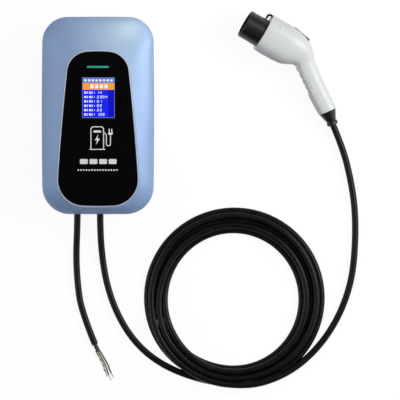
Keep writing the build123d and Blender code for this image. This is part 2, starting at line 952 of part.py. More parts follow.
def gland_cap(x):
    """Fluted dome nut that squeezes the seal on the cable."""
    cap = rod_y(x, gland_z, cap_mouth_y, cap_foot_y, cap_radius)
    cap = fillet(cap.edges().sort_by(Axis.Y)[0], cap_round)
    for index in range(cap_flute_count):
        angle = 2 * math.pi * index / cap_flute_count
        flute_x = x + cap_radius * math.cos(angle)
        flute_z = gland_z + cap_radius * math.sin(angle)
        flute_end_y = cap_mouth_y + 2 * cap_round
        cap -= rod_y(flute_x, flute_z, flute_end_y, cap_foot_y + over, cap_flute_radius)
    cap -= rod_y(x, gland_z, seal_end_y, cap_foot_y + over, gland_neck_radius + cap_wall_gap)
    return cap - rod_y(x, gland_z, cap_mouth_y - over, seal_end_y + over, gland_bore_radius)


def gland_seal(x):
    """Rubber ring between the neck and the cap."""
    ring = rod_y(x, gland_z, seal_end_y, neck_end_y, gland_neck_radius)
    return ring - rod_y(x, gland_z, seal_end_y - over, neck_end_y + over, cable_radius + seal_fit_gap)


def gland_locknut(x):
    """Hexagon nut inside the housing."""
    nut_end_y = bay_inner_y + locknut_length
    hole = rod_y(x, gland_z, bay_inner_y - over, nut_end_y + over, gland_thread_radius + gland_hole_gap)
    return hexagon_y(x, bay_inner_y, nut_end_y) - hole


gland_places = {"input": input_gland_x, "output": output_gland_x}
for name, x in gland_places.items():
    save(gland_body(x), f"{name}_gland_body")
    save(gland_cap(x), f"{name}_gland_cap")
    save(rod_y(x, gland_z, cap_mouth_y, sheath_end_y, cable_radius), f"{name}_sheath_end")
save(Compound(children=[gland_seal(x) for x in gland_places.values()]), "gland_seals")
save(Compound(children=[gland_locknut(x) for x in gland_places.values()]), "gland_locknuts")


# Wires inside the housing

def wire(start_x, start_z, index, radius):
    """One core from a cable's end to its terminal."""
    end_x = terminal_x(index)
    points = (
        (start_x, sheath_end_y, start_z),
        (start_x, sheath_end_y + wire_lead_out, start_z),
        (end_x, terminal_front_y - wire_lead_out, entry_z),
        (end_x, terminal_front_y + wire_run_in, entry_z),
    )
    return tube(points, radius, [wire_bend, wire_bend])


input_wires = []
for index in range(3):
    input_wires.append(wire(input_gland_x + (index - 1) * wire_pitch, gland_z, index, wire_radius))
save(Compound(children=input_wires), "input_wires")
output_wires = []
for index in range(3):
    core_x = output_gland_x + (index - 1) * wire_pitch
    output_wires.append(wire(core_x, gland_z - wire_lift / 4, index + 3, wire_radius))
for index in range(2):
    signal_x = output_gland_x + (index - 1 / 2) * wire_pitch
    output_wires.append(wire(signal_x, gland_z + 3 * wire_lift / 4, index + 6, signal_wire_radius))
save(Compound(children=output_wires), "output_wires")


# Cables on the floor

def cord(points, radius, name):
    """A free cable with arcs as large as its runs allow."""
    radii = largest_arcs(points)
    print(name, "arc radii", [round(value) for value in radii])
    return tube(points, radius, radii)


def from_gland(x, route):
    """A route that first runs straight out of a gland's cap."""
    straight = ((x, cap_mouth_y, gland_z), (x, cap_mouth_y - cord_straight, gland_z))
    return straight + route


lead_points = from_gland(output_gland_x, lead_route)
input_points = from_gland(input_gland_x, input_route)
save(cord(lead_points, cable_radius, "charging_cable_lead"), "charging_cable_lead")
ring_width = coil_outer_radius - coil_inner_radius
ring_place = Pos((coil_outer_radius + coil_inner_radius) / 2, 0, coil_height / 2) * Rot(90, 0, 0)
ring = revolve(ring_place * RectangleRounded(ring_width, coil_height, coil_edge_round), Axis.Z)
save(Pos(coil_middle_x, coil_middle_y, 0) * ring, "charging_cable_coil")
save(cord(input_points, cable_radius, "input_lead"), "input_lead")


# Stripped end of the supply lead

sheath_cut = Vector(*input_points[-1])
last_run = (sheath_cut - Vector(*input_points[-2])).normalized()
across = Vector(-last_run.Y, last_run.X, 0)
sleeve_plane = Plane(origin=sheath_cut, z_dir=last_run)
save(extrude(sleeve_plane * Circle(sleeve_radius), sleeve_length), "input_inner_sleeve")
sleeve_end = sheath_cut + last_run * sleeve_length
core_ends = []
for order, (name, points) in enumerate(core_routes.items()):
    start = sleeve_end + across * ((order - 1) * core_start_pitch)
    route = [tuple(start)] + list(points)
    save(tube(route, core_radius, largest_arcs(route)), name)
    tip_start = Vector(*points[-1])
    tip_run = (tip_start - Vector(*points[-2])).normalized()
    tip_plane = Plane(origin=tip_start, z_dir=Vector(tip_run.X, tip_run.Y, 0).normalized())
    core_ends.append(extrude(tip_plane * Circle(core_tip_radius), core_tip_length))
save(Compound(children=core_ends), "core_ends")


# Gun body: local axes are a, back from the mouth, b, up to the latch, and c, out of its side

def round_section(plane, half_height, half_width):
    """A rounded, nearly square section as one closed curve."""
    points = []
    for index in range(section_point_count):
        angle = 2 * math.pi * index / section_point_count
        up = math.cos(angle)
        out = math.sin(angle)
        up = math.copysign(abs(up) ** (2 / section_power_share), up)
        out = math.copysign(abs(out) ** (2 / section_power_share), out)
        points.append((half_height * up, half_width * out))
    return plane * make_face(Spline(*points, periodic=True))


def gun_section(values, inset):
    """One upright section of the gun's body, square to its own stretch."""
    a, b, tilt, half_height, half_width = values
    angle = math.radians(tilt)
    run = (math.cos(angle), -math.sin(angle), 0)
    plane = Plane(origin=(a, b, 0), x_dir=(math.sin(angle), math.cos(angle), 0), z_dir=run)
    return round_section(plane, half_height - inset, half_width - inset)


def gun_head(inset, front):
    """The head as a smooth loft, with its front end moved back by a distance."""
    first = head_sections[0]
    stations = ((first[0] + front,) + first[1:],) + head_sections[1:] + (knuckle_section,)
    return loft([gun_section(values, inset) for values in stations])


def gun_handle(inset):
    """The handle as a smooth loft."""
    stations = (knuckle_section,) + handle_sections + (end_section,)
    return loft([gun_section(values, inset) for values in stations])


def rod_c(a, b, c0, c1, radius):
    """A cylinder across the gun."""
    return disc(a, b, c0, c1, radius)


def rod_a(b, c, a0, a1, radius):
    """A cylinder along the gun's nose."""
    return rod_x(b, c, a0, a1, radius)


gun_half_width = max(values[4] for values in head_sections)
head_outer = gun_head(0, 0)
handle_outer = gun_handle(0)
shell_outer = head_outer + handle_outer
end_a, end_b, end_tilt, end_half_height, end_half_width = end_section
end_angle = math.radians(end_tilt)
end_run = Vector(math.cos(end_angle), -math.sin(end_angle), 0)
end_up = Vector(math.sin(end_angle), math.cos(end_angle), 0)
end_middle = Vector(end_a, end_b, 0)


def end_plane(distance):
    """A plane square to the handle, at a distance past its end."""
    return Plane(origin=end_middle + end_run * distance, x_dir=end_up, z_dir=end_run)


def end_fill(distance, inset, length):
    """A plug with the handle end's own section."""
    section = round_section(end_plane(distance), end_half_height - inset, end_half_width - inset)
    return extrude(section, length)


front_a = head_sections[0][0]
shelf_foot_b = shelf_top_b - shelf_thickness
ribs = block(shelf_front_a, shelf_rear_a, shelf_foot_b, shelf_top_b, -gun_half_width, gun_half_width)
ribs += rod_y(spring_a, 0, shelf_top_b, shelf_top_b + spring_cup_height, spring_cup_radius)
for side in (-1, 1):
    inner_c = hub_half_width + hub_side_gap
    low_c, high_c = sorted((side * inner_c, side * gun_half_width))
    ribs += rod_c(pivot_a, pivot_b, low_c, high_c, boss_radius)
for a, b in gun_screw_places:
    ribs += rod_c(a, b, -gun_half_width, gun_half_width, gun_screw_column_radius)
shell = (head_outer - gun_head(gun_wall, gun_front_wall)) + (handle_outer - gun_handle(gun_wall))
shell += ribs & shell_outer
shell -= rod_a(0, 0, front_a - 2 * over, front_a + gun_front_wall + over, nose_rear_radius + nose_fit_gap)
pin_seat_c = gun_half_width - 2 * gun_wall
shell -= rod_c(pivot_a, pivot_b, -pin_seat_c, pin_seat_c, pivot_pin_radius + pivot_pin_gap)
shell -= block(
    button_front_a - slot_front_gap,
    button_rear_a + slot_rear_gap,
    button_front_b - slot_depth,
    button_front_b + slot_depth,
    -button_half_width - slot_side_gap,
    button_half_width + slot_side_gap,
)
hook_slot_half = lever_half_width + hook_slot_side_gap
shell -= block(
    front_a - over,
    hook_slot_rear_a,
    hook_slot_floor_b,
    button_front_b + slot_depth,
    -hook_slot_half,
    hook_slot_half,
)
screw_hole_c = gun_screw_half_length + screw_tip_gap
for a, b in gun_screw_places:
    shell -= rod_c(a, b, -gun_screw_head_c, screw_hole_c, gun_screw_radius + screw_gap)
    shell -= rod_c(a, b, -2 * gun_half_width, -gun_screw_head_c, gun_screw_head_radius + screw_gap)
scallop_angle = math.radians(scallop_tilt)
for index in range(scallop_count):
    along = index * scallop_pitch
    out = scallop_radius - scallop_depth
    a = scallop_first[0] + along * math.cos(scallop_angle) - out * math.sin(scallop_angle)
    b = scallop_first[1] - along * math.sin(scallop_angle) - out * math.cos(scallop_angle)
    shell -= rod_c(a, b, -gun_half_width, gun_half_width, scallop_radius)
half_space = 2 * (end_a + gun_half_width)
right_half = shell & Pos(0, 0, half_space / 2) * Box(half_space, half_space, half_space)
left_half = shell & Pos(0, 0, -half_space / 2) * Box(half_space, half_space, half_space)


# Gun nose and contacts

flange_a = front_a + gun_front_wall + nose_fit_gap
flange_end_a = flange_a + nose_flange_thickness
nose_bore = nose_radius - nose_wall
nose = rod_a(0, 0, 0, nose_step_a, nose_radius)
nose += rod_a(0, 0, nose_step_a, flange_end_a, nose_rear_radius)
nose += rod_a(0, 0, flange_a, flange_end_a, nose_flange_radius)
nose -= rod_a(0, 0, -over, flange_end_a + over, nose_bore)
nose = fillet(nose.edges().filter_by(GeomType.CIRCLE).sort_by(Axis.X)[:2], nose_lip_round)

carrier = rod_a(0, 0, carrier_face_a, carrier_rear_a, nose_bore - nose_fit_gap)
contact_groups = {
    "power_contacts": (power_contact_places, power_contact_radius),
    "signal_contacts": (signal_contact_places, signal_contact_radius),
}
contact_nodes = {}
for name, (places, radius) in contact_groups.items():
    sleeves = []
    for c, b in places:
        collar_a = carrier_face_a - contact_collar_height
        carrier += rod_a(b, c, collar_a, carrier_face_a, radius + contact_collar)
        carrier -= rod_a(b, c, collar_a - over, carrier_rear_a + over, radius + screw_gap)
        first_a = carrier_face_a + contact_set_back
        sleeve = rod_a(b, c, first_a, first_a + contact_length, radius)
        sleeve -= rod_a(b, c, first_a - over, first_a + contact_length - 2 * radius, radius - contact_wall)
        sleeves.append(sleeve)
    contact_nodes[name] = Compound(children=sleeves)


# Latch

lever_points = lever_top + lever_bottom + hook_tip
lever_outline = make_face(Polyline(*lever_points, close=True))
lever = Pos(0, 0, -lever_half_width) * extrude(lever_outline, 2 * lever_half_width)
lever = fillet(lever.edges().filter_by(Axis.Z), lever_bend)
lever += rod_c(pivot_a, pivot_b, -hub_half_width, hub_half_width, pivot_hub_radius)
lever -= rod_c(pivot_a, pivot_b, -2 * hub_half_width, 2 * hub_half_width, pivot_pin_radius + pivot_pin_gap)

lever_seat_front = lever_top[-2]
lever_seat_rear = lever_top[-1]
seat_slope = (lever_seat_rear[1] - lever_seat_front[1]) / (lever_seat_rear[0] - lever_seat_front[0])


def lever_top_at(a):
    """The height of the lever's rear arm at a place."""
    return lever_seat_front[1] + seat_slope * (a - lever_seat_front[0])


button_last_a = lever_seat_rear[0]
button_outline = make_face(
    Polyline(
        (button_front_a, lever_top_at(button_front_a)),
        (button_last_a, lever_top_at(button_last_a)),
        (button_rear_a, lever_top_at(button_rear_a)),
        (button_rear_a, button_rear_b),
        (button_front_a, button_front_b),
        close=True,
    )
)
button = Pos(0, 0, -button_half_width) * extrude(button_outline, 2 * button_half_width)
button = fillet(button.faces().sort_by(Axis.Y)[-1].edges(), button_round / 2)

pin_end_c = pin_seat_c - screw_gap
pivot_pin = rod_c(pivot_a, pivot_b, -pin_end_c, pin_end_c, pivot_pin_radius)

spring_foot_b = shelf_top_b + spring_cup_height
spring_height = spring_top_b - spring_foot_b - 2 * spring_wire_radius
spring_path = Helix(spring_height / spring_turns, spring_height, spring_radius)
spring_start = Plane(origin=spring_path @ 0, z_dir=spring_path % 0)
spring = sweep(spring_start * Circle(spring_wire_radius), path=spring_path, is_frenet=True)
spring = Pos(spring_a, spring_foot_b + spring_wire_radius, 0) * Rot(-90, 0, 0) * spring

switch_length, switch_height, switch_width = switch_size
switch = block(
    switch_middle_a - switch_length / 2,
    switch_middle_a + switch_length / 2,
    shelf_top_b,
    shelf_top_b + switch_height,
    -switch_width / 2,
    switch_width / 2,
)
switch_top_b = shelf_top_b + switch_height
switch += rod_y(switch_middle_a, 0, switch_top_b, switch_top_b + switch_button_height, switch_button_radius)


# Screws, clamp, cable and wires in the gun

gun_screws = []
for a, b in gun_screw_places:
    head = rod_c(a, b, -gun_screw_head_c - gun_screw_head_height, -gun_screw_head_c, gun_screw_head_radius)
    gun_screws.append(head + rod_c(a, b, -gun_screw_head_c, gun_screw_half_length, gun_screw_radius))

clamp = extrude(end_plane(-clamp_front) * Circle(gun_half_width), clamp_thickness)
clamp &= gun_handle(gun_wall + clamp_gap)
cable_hole = Circle(cable_radius + seal_fit_gap)
clamp -= extrude(end_plane(-clamp_front - over) * cable_hole, clamp_thickness + 2 * over)

boot_length = boot_cone_length + boot_bead_length
boot_profile = make_face(
    Polyline(
        (0, 0),
        (min(end_half_height, end_half_width), 0),
        (boot_neck_radius, boot_cone_length),
        (boot_bead_radius, boot_cone_length + boot_bead_length / 4),
        (boot_bead_radius, boot_cone_length + 3 * boot_bead_length / 4),
        (boot_neck_radius, boot_length),
        (0, boot_length),
        close=True,
    )
)
boot_solid = Rot(90, 0, 0) * boot_profile
boot = end_plane(0).location * revolve(boot_solid, Axis.Z)
boot += end_fill(-boot_plug_depth, gun_wall + boot_plug_gap, boot_plug_depth)
boot -= extrude(end_plane(-boot_plug_depth - over) * cable_hole, boot_plug_depth + boot_length + 2 * over)

cable_end_length = gun_cable_inner_length + boot_length
cable_end = extrude(end_plane(-gun_cable_inner_length) * Circle(cable_radius), cable_end_length)

gun_wires = []
cable_inner_end = end_middle - end_run * gun_cable_inner_length
for index in range(3):
    c = (index - 1) * gun_wire_pitch
    route = [(a, b, c) for a, b in gun_wire_route] + [(cable_inner_end.X, cable_inner_end.Y, c)]
    gun_wires.append(tube(route, gun_wire_radius, [gun_wire_bend] * (len(route) - 2)))


# Place the gun: turned in the plane of the floor, tipped so that the nose rises, and set on the floor

turned = Rot(0, 0, gun_turn) * Rot(0, gun_dip, 0)
lowest = min((turned * half).bounding_box().min.Z for half in (left_half, right_half))
gun_place = Pos(gun_mouth_x, gun_mouth_y, -lowest) * turned
gun_nodes = {
    "gun_shell_left": left_half,
    "gun_shell_right": right_half,
    "gun_nose": nose,
    "contact_carrier": carrier,
    "power_contacts": contact_nodes["power_contacts"],
    "signal_contacts": contact_nodes["signal_contacts"],
    "latch_lever": lever,
    "release_button": button,
    "latch_pivot_pin": pivot_pin,
    "latch_spring": spring,
    "latch_switch": switch,
    "gun_screws": Compound(children=gun_screws),
    "cable_clamp": clamp,
    "gun_cable_boot": boot,
    "gun_cable_end": cable_end,
    "gun_wires": Compound(children=gun_wires),
}
for name, shape in gun_nodes.items():
    save(gun_place * shape, name)

# The last stretch of the charging cable leaves the boot in line with it
boot_mouth = gun_place * Pos(*(end_middle + end_run * boot_length))
boot_mouth_place = boot_mouth.position
boot_aim = (gun_place * Pos(*(end_middle + end_run * (boot_length + tail_last_run)))).position
print("boot mouth", tuple(boot_mouth_place), "aim", tuple(boot_aim))
tail_points = list(tail_route) + [(boot_aim.X, boot_aim.Y, boot_aim.Z), tuple(boot_mouth_place)]
save(cord(tail_points, cable_radius, "charging_cable_tail"), "charging_cable_tail")
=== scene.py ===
"""The looks of a wall charging box, its two cables and its charging gun, as it lies on a pale table."""

import json
import math
import random

import bmesh
import bpy
from mathutils import Matrix, Vector
from mathutils.bvhtree import BVHTree


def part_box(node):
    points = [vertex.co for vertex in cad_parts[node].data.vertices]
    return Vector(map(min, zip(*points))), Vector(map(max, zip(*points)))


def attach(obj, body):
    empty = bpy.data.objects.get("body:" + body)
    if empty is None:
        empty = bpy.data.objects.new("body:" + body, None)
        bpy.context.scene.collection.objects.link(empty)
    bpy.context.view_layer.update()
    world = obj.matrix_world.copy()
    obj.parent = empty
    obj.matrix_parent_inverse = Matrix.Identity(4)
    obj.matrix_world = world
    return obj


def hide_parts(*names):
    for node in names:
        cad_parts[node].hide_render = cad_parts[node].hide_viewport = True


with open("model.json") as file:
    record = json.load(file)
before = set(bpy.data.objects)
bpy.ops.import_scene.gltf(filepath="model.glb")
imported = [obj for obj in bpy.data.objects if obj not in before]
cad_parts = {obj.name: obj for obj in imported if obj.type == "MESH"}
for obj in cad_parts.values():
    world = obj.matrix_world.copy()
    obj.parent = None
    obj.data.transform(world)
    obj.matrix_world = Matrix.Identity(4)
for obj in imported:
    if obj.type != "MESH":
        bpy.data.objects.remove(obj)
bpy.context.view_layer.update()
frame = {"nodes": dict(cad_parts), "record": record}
nodes = frame["nodes"]
set_body = "wallbox_set"
mm = 0.001


def put_in_scene(name, data):
    """A new object that holds these data."""
    made = bpy.data.objects.new(name, data)
    bpy.context.scene.collection.objects.link(made)
    return made


# Camera: straight above the set, with the photograph's frame

metres_per_pixel = 0.0018
picture_pixels = 400
picture_middle = (0.1836, -0.1521)
camera_height = 30.0
true_scale_height = 0.045
sensor_width = 36.0
nearest_seen, farthest_seen = 0.1, 100.0


def make_camera():
    """A long lens far above, so that upright walls hardly show."""
    lens = bpy.data.cameras.new("camera")
    lens.sensor_width = sensor_width
    covered = metres_per_pixel * picture_pixels
    lens.lens = sensor_width * (camera_height - true_scale_height) / covered
    lens.clip_start = nearest_seen
    lens.clip_end = farthest_seen
    camera = put_in_scene("camera", lens)
    camera.location = (*picture_middle, camera_height)
    bpy.context.scene.camera = camera


make_camera()


# Cables: routes in metres, and the coil's turns worked out from its sizes

cable_diameter = 12.0 * mm
cable_ring_steps, cable_line_steps = 6, 10
lead_route = [
    (0.0036, -0.1600, 0.0170),
    (0.0036, -0.2050, 0.0170),
    (0.0073, -0.2550, 0.0059),
    (0.0147, -0.3000, 0.0059),
    (0.0290, -0.3453, 0.0059),
    (0.0521, -0.3891, 0.0059),
    (0.0811, -0.4235, 0.0059),
    (0.1172, -0.4496, 0.0059),
    (0.1594, -0.4681, 0.0059),
    (0.2070, -0.4805, 0.0059),
]
tail_route = [
    (0.3095, -0.4785, 0.0165),
    (0.3575, -0.4545, 0.0095),
    (0.4015, -0.4130, 0.0059),
    (0.4350, -0.3605, 0.0059),
    (0.4565, -0.3000, 0.0059),
    (0.4636, -0.2350, 0.0059),
    (0.4633, -0.1680, 0.0059),
    (0.4545, -0.1120, 0.0070),
    (0.44142, -0.05991, 0.00983),
    (0.42325, -0.01676, 0.01402),
]
input_route = [
    (-0.0369, -0.1600, 0.0170),
    (-0.0376, -0.2050, 0.0170),
    (-0.0397, -0.2500, 0.0059),
    (-0.0375, -0.3000, 0.0059),
    (-0.0300, -0.3530, 0.0059),
    (-0.0055, -0.4125, 0.0059),
]

# The coil's outermost and innermost turns are two circles, a little off each other
outer_turn_middle = Vector((0.2455, -0.3285))
outer_turn_radius = 0.1570
inner_turn_middle = Vector((0.2436, -0.3312))
inner_turn_radius = 0.1241
inner_turn_oval = 0.9 * mm
coil_points_per_turn = 16

# Turn, share of the way inwards and height: the first turns lie on the floor, the last two on top of them
coil_keys = [
    (-0.23, 0.00, 5.9 * mm),
    (0.60, 0.00, 5.9 * mm),
    (0.78, 0.50, 5.9 * mm),
    (1.50, 0.50, 5.9 * mm),
    (1.70, 1.00, 5.9 * mm),
    (2.42, 1.00, 5.9 * mm),
    (2.58, 0.97, 17.4 * mm),
    (2.72, 0.80, 17.0 * mm),
    (2.86, 0.75, 14.1 * mm),
    (3.44, 0.75, 14.1 * mm),
    (3.60, 0.51, 17.2 * mm),
    (3.78, 0.37, 17.2 * mm),
    (3.96, 0.25, 14.1 * mm),
    (4.48, 0.25, 14.1 * mm),
    (4.62, 0.12, 17.2 * mm),
    (4.77, 0.00, 17.4 * mm),
]
coil_first_turn, coil_last_turn = coil_keys[0][0], coil_keys[-1][0]


def coil_state(turn):
    """The share of the way inwards and the height at one place along the coil."""
    for (first, share_from, z_from), (last, share_to, z_to) in zip(coil_keys, coil_keys[1:]):
        if turn <= last or last == coil_last_turn:
            along = min(1.0, max(0.0, (turn - first) / (last - first)))
            ease = along * along * (3 - 2 * along)
            return share_from + (share_to - share_from) * ease, z_from + (z_to - z_from) * ease


def coil_line():
    """Turns that lie beside each other, with every change of place near the coil's lower left."""
    points = []
    count = round((coil_last_turn - coil_first_turn) * coil_points_per_turn)
    corner_share = math.cos(math.pi / coil_points_per_turn)
    for index in range(count + 1):
        turn = coil_first_turn + index / coil_points_per_turn
        inwards, height = coil_state(turn)
        angle = 2 * math.pi * turn
        radius = outer_turn_radius + (inner_turn_radius - outer_turn_radius) * inwards
        radius -= inner_turn_oval * inwards * math.cos(2 * angle)
        middle = outer_turn_middle.lerp(inner_turn_middle, inwards)
        out = Vector((math.cos(angle), math.sin(angle))) * (radius / corner_share)
        points.append((middle.x + out.x, middle.y + out.y, height))
    return points


def tube_curve(name, lines, radius, ring_steps, line_steps):
    """Round tubes, each along one smooth line that has these control points."""
    curve = bpy.data.curves.new(name, "CURVE")
    curve.dimensions = "3D"
    curve.bevel_depth = radius
    curve.bevel_resolution = ring_steps
    curve.resolution_u = line_steps
    curve.use_fill_caps = True
    for places in lines:
        spline = curve.splines.new("NURBS")
        spline.points.add(len(places) - 1)
        for point, place in zip(spline.points, places):
            point.co = (*place, 1.0)
        spline.order_u = 3
        spline.use_endpoint_u = True
    return curve


def cable_along(name, points):
    """One of the two free cables."""
    tube = tube_curve(name, [points], cable_diameter / 2, cable_ring_steps, cable_line_steps)
    return put_in_scene(name, tube)


charging_cable = cable_along("charging_cable", lead_route + coil_line() + tail_route)
supply_cable = cable_along("supply_cable", input_route)


# Finishes: shader maths written as Python expressions

class Socket:
    """A node's output. Sums and products of outputs add the nodes that work them out."""

    def __init__(self, finish, output):
        self.finish = finish
        self.output = output

    def maths(self, operation, first, second=0.0):
        return self.finish.node("ShaderNodeMath", {"operation": operation}, {0: first, 1: second})

    def __add__(self, other):
        return self.maths("ADD", self, other)

    def __radd__(self, other):
        return self.maths("ADD", other, self)

    def __mul__(self, other):
        return self.maths("MULTIPLY", self, other)

    def __rmul__(self, other):
        return self.maths("MULTIPLY", other, self)

    def __gt__(self, other):
        return self.maths("GREATER_THAN", self, other)

    def wrapped(self):
        """Its part after the point, so that it starts again at each whole number."""
        return self.maths("FRACT", self)


def paint_colour(red, green, blue):
    """A colour as it is seen, from 0 to 255, in the renderer's own scale."""
    values = []
    for value in (red, green, blue):
        share = value / 255
        values.append(share / 12.92 if share <= 0.04045 else ((share + 0.055) / 1.055) ** 2.4)
    return (*values, 1.0)


# Noise keeps mostly between these two values
noise_low, noise_high = 0.3, 0.7


class Finish:
    """One material with a single main shader."""

    def __init__(self, name):
        self.material = bpy.data.materials.new(name)
        self.material.use_nodes = True
        self.tree = self.material.node_tree
        self.tree.nodes.clear()

    def node(self, kind, settings=None, inputs=None, output=0):
        made = self.tree.nodes.new(kind)
        for name, value in (settings or {}).items():
            setattr(made, name, value)
        for name, value in (inputs or {}).items():
            self.feed(made.inputs[name], value)
        return Socket(self, made.outputs[output]) if made.outputs else None

    def feed(self, socket, value):
        if isinstance(value, Socket):
            self.tree.links.new(value.output, socket)
        else:
            socket.default_value = value

    def place(self):
        """Where a point of the surface is, in metres."""
        return self.node("ShaderNodeTexCoord", output="Object")

    def axis(self, name):
        """One of the place's three numbers."""
        return self.node("ShaderNodeSeparateXYZ", inputs={0: self.place()}, output=name)

    def noise(self, size, detail=2.0, stretch=(1.0, 1.0, 1.0)):
        """Cloudy values from 0 to 1, with patches of about this size in metres."""
        mapped = self.node("ShaderNodeMapping", inputs={"Vector": self.place(), "Scale": stretch})
        inputs = {"Vector": mapped, "Scale": 1 / size, "Detail": detail}
        return self.node("ShaderNodeTexNoise", inputs=inputs)

    def spots(self, size):
        """The distance to the nearest of many scattered points."""
        return self.node("ShaderNodeTexVoronoi", inputs={"Vector": self.place(), "Scale": 1 / size})

    def span(self, value, low, high, from_low=noise_low, from_high=noise_high):
        """A value carried from one span to another, without leaving it."""
        inputs = {"Value": value, "From Min": from_low, "From Max": from_high, "To Min": low, "To Max": high}
        return self.node("ShaderNodeMapRange", inputs=inputs)

    def colours(self, share, low, high):
        """A colour between two colours."""
        return self.node("ShaderNodeMix", {"data_type": "RGBA"}, {0: share, 6: low, 7: high}, output=2)

    def bump(self, height, distance, strength=1.0):
        """A surface that stands proud where the height is more."""
        inputs = {"Height": height, "Distance": distance, "Strength": strength}
        return self.node("ShaderNodeBump", inputs=inputs)

    def done(self, **sockets):
        """Feeds the main shader, whose sockets are named with low lines for spaces."""
        inputs = {}
        for name, value in sockets.items():
            inputs[name.replace("_", " ").title().replace("Ior", "IOR")] = value
        shader = self.node("ShaderNodeBsdfPrincipled", inputs=inputs)
        self.node("ShaderNodeOutputMaterial", inputs={"Surface": shader})
        return self.material


def shade(colour, share, lift=0.0):
    """A colour made darker or lighter, still opaque."""
    return tuple(value * share + lift for value in colour[:3]) + (1.0,)


# How large the patches of other tone and of other sheen are, and how far the roughness wanders down and up
plastic_tone_patch, plastic_sheen_patch, plastic_sheen = 35 * mm, 9 * mm, (0.04, 0.05)
metal_sheen_patch, metal_sheen, metal_mark_shade = 4 * mm, (0.06, 0.08), 0.82
rubber_bloom_patch, rubber_sheen, rubber_grain = 14 * mm, (0.05, 0.07), 0.9 * mm
rubber_dust_share, rubber_dust_lift = 1.9, 0.003
paint_cloud, paint_peel, paint_flake, paint_glint = 60 * mm, 2.4 * mm, 0.35 * mm, 0.5 * mm
screen_row_pitch, screen_row_shade = 0.35 * mm, 0.8
track_pitch, track_gap = 2.54 * mm, 7.62 * mm


def moulded(name, colour, roughness, grain_size=0.6 * mm, grain_depth=0.02 * mm, tone=0.12, level=0.5):
    """Injection-moulded plastic: a fine grain, and a slight change of tone from place to place."""
    finish = Finish(name)
    cloud = finish.noise(plastic_tone_patch, 3.0)
    less, more = plastic_sheen
    return finish.done(
        base_color=finish.colours(cloud, shade(colour, 1 - tone), colour),
        roughness=finish.span(finish.noise(plastic_sheen_patch), roughness - less, roughness + more),
        specular_ior_level=level,
        normal=finish.bump(finish.noise(grain_size, 1.0), grain_depth, 0.5),
    )


def metallic_paint(name, colour, flake_colour):
    """Satin paint with fine metal flakes."""
    finish = Finish(name)
    flakes = finish.span(finish.spots(paint_flake), 0.0, 1.0, 0.1, 0.6)
    cloud = finish.noise(paint_cloud, 2.0)
    peel = finish.noise(paint_peel, 1.0)
    return finish.done(
        base_color=finish.colours(flakes * 0.5 + cloud * 0.3, flake_colour, colour),
        metallic=finish.span(finish.noise(paint_glint), 0.10, 0.18),
        roughness=finish.span(cloud, 0.42, 0.48),
        specular_ior_level=0.3,
        normal=finish.bump(peel, 0.012 * mm, 0.35),
    )


def metal(name, colour, roughness, scratch=(1.0, 1.0, 1.0), grain_size=0.5 * mm, metallic=1.0):
    """Bare or plated metal with fine marks."""
    finish = Finish(name)
    marks = finish.noise(grain_size, 2.0, scratch)
    less, more = metal_sheen
    return finish.done(
        base_color=finish.colours(marks, shade(colour, metal_mark_shade), colour),
        metallic=metallic,
        roughness=finish.span(finish.noise(metal_sheen_patch), roughness - less, roughness + more),
        normal=finish.bump(marks, 0.01 * mm, 0.4),
    )


def rubber(name, colour, roughness):
    """Soft black rubber with a fine grain and a faint dusty bloom."""
    finish = Finish(name)
    bloom = finish.noise(rubber_bloom_patch, 4.0)
    dusty = shade(colour, rubber_dust_share, rubber_dust_lift)
    less, more = rubber_sheen
    return finish.done(
        base_color=finish.colours(finish.span(bloom, 0.0, 0.5), colour, dusty),
        roughness=finish.span(bloom, roughness - less, roughness + more),
        specular_ior_level=0.2,
        normal=finish.bump(finish.noise(rubber_grain, 2.0), 0.006 * mm, 0.5),
    )


def glowing(name, colour, strength):
    """A lit part of the screen, behind its clear front."""
    finish = Finish(name)
    rows = (finish.axis("Y") * (1 / screen_row_pitch)).wrapped()
    light = finish.span(rows, 0.88, 1.0, 0.0, 0.3)
    return finish.done(
        base_color=(0.004, 0.004, 0.006, 1.0),
        emission_color=finish.colours(light, shade(colour, screen_row_shade), colour),
        emission_strength=strength,
        roughness=0.2,
        specular_ior_level=0.2,
    )


def striped(name, colour, stripe_colour, pitch):
    """Core insulation with a second colour wound round it."""
    finish = Finish(name)
    along = finish.axis("X") * 0.5 + finish.axis("Y") * 0.87 + finish.axis("Z") * 0.9
    band = (along * (1 / pitch)).wrapped() > 0.55
    return finish.done(
        base_color=finish.colours(band, colour, stripe_colour),
        roughness=finish.span(finish.noise(2 * mm), 0.32, 0.45),
    )


def circuit_board(name):
    """Green solder mask over faint copper tracks."""
    finish = Finish(name)
    across = (finish.axis("X") * (1 / track_pitch)).wrapped() > 0.72
    along = (finish.axis("Y") * (1 / track_gap)).wrapped() > 0.82
    tracks = finish.span(across + along, 0.0, 1.0, 0.0, 2.0)
    return finish.done(
        base_color=finish.colours(tracks, paint_colour(16, 74, 40), paint_colour(48, 116, 70)),
        roughness=finish.span(finish.noise(3 * mm), 0.28, 0.4),
        coat_weight=0.3,
    )


